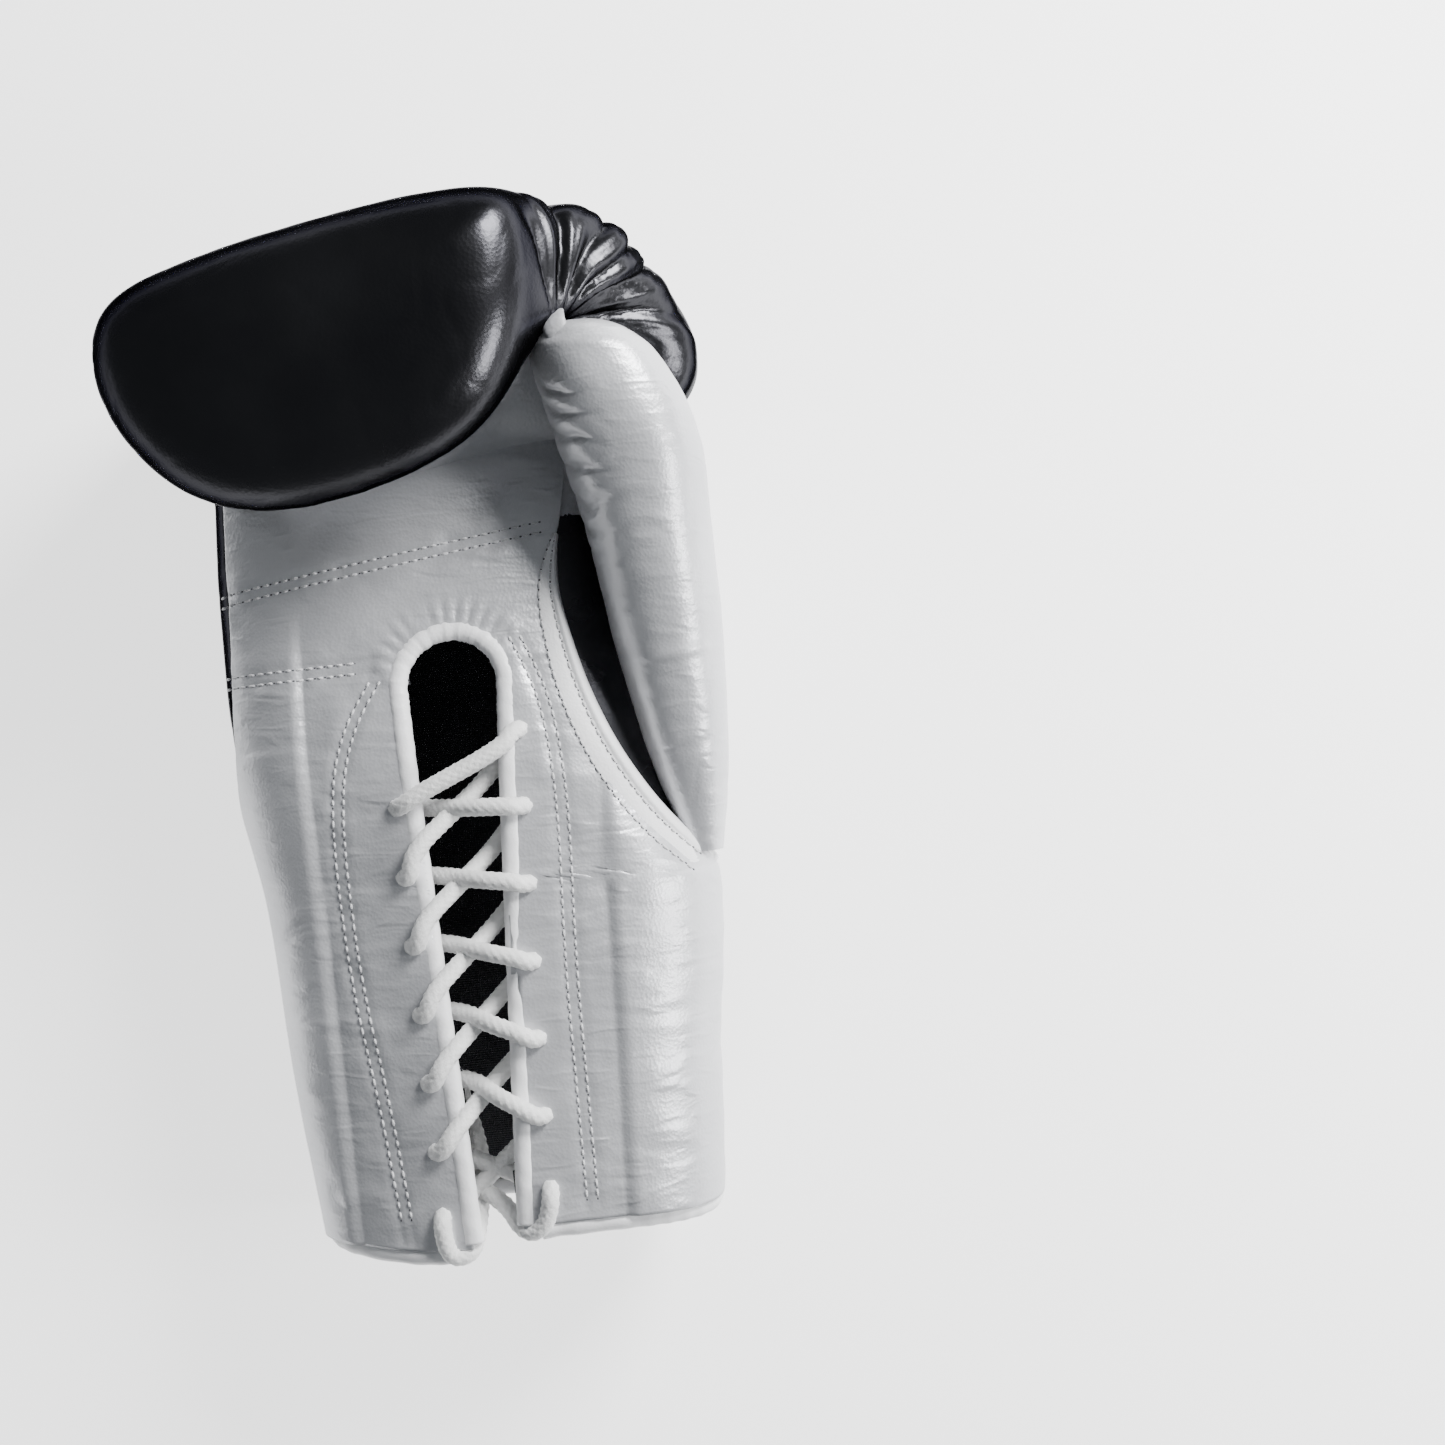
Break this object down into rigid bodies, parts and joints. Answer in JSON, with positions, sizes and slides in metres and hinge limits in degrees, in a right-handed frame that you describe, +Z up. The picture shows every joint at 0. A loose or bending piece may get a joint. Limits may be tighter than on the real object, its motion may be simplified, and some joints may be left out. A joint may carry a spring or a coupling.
{
  "type": "boxing glove",
  "caption": "Lace-up boxing glove with a padded fist, curled finger roll, attached thumb, open laced palm side and a long padded cuff.",
  "frame": {"origin": "on the surface the glove lies on, under the middle of its box", "axes": "+Y from the cuff's hem to the knuckles, +X to the thumb side, +Z up out of the palm side; the glove lies on its back"},
  "size_m": [0.1691, 0.3131, 0.1202],
  "materials": {
    "black_leather": "smooth glossy leather",
    "white_leather": "pearl white leather, fine creases",
    "white_binding": "smooth white leather binding",
    "black_lining": "black woven lining",
    "foam": "closed cell foam",
    "lace": "braided cotton lace",
    "lace_tip": "clear plastic tip"
  },
  "bodies": {
    "hand": {"back_cover": "black_leather", "palm_panel": "white_leather", "back_pad": "foam", "palm_pad": "foam", "knuckle_outer_pad": "foam", "knuckle_inner_pad": "foam", "hand_lining": "black_lining", "grip_bar": "foam", "grip_cover": "black_leather", "thumb_gusset": "black_leather", "crescent_band": "white_binding"},
    "fingers": {"finger_cover": "black_leather", "finger_pad": "foam", "finger_lining": "black_lining", "index_side_cover": "black_leather", "index_side_pad": "foam"},
    "thumb": {"thumb_cover": "white_leather", "thumb_pad": "foam", "thumb_lining": "black_lining", "thumb_tether": "white_leather"},
    "cuff": {"cuff_back_panel": "black_leather", "cuff_left_panel": "white_leather", "cuff_right_panel": "white_leather", "cuff_back_pad": "foam", "cuff_left_pad": "foam", "cuff_right_pad": "foam", "cuff_lining": "black_lining", "hem_binding": "white_binding", "left_hole_strip": "white_leather", "right_hole_strip": "white_leather", "placket_binding": "white_binding", "lace": "lace", "lace_tips": "lace_tip"}
  },
  "joints": [
    {"name": "wrist_bend", "type": "hinge", "parent": "hand", "child": "cuff", "pos_m": [0, -0.002, 0.038], "axis": [1, 0, 0], "range_deg": [-12, 12], "stiffness_Nm_per_rad": 8, "deforming": ["placket_binding", "left_hole_strip", "right_hole_strip", "lace", "lace_tips"]},
    {"name": "fingers_open", "type": "hinge", "parent": "hand", "child": "fingers", "pos_m": [-0.022, 0.1475, 0.062], "axis": [-0.9848, -0.1736, 0], "range_deg": [0, 18], "stiffness_Nm_per_rad": 3},
    {"name": "thumb_swing", "type": "hinge", "parent": "hand", "child": "thumb", "pos_m": [0.072, -0.03, 0.052], "axis": [0, 0, -1], "range_deg": [0, 8], "stiffness_Nm_per_rad": 2, "deforming": ["thumb_tether"]}
  ]
}
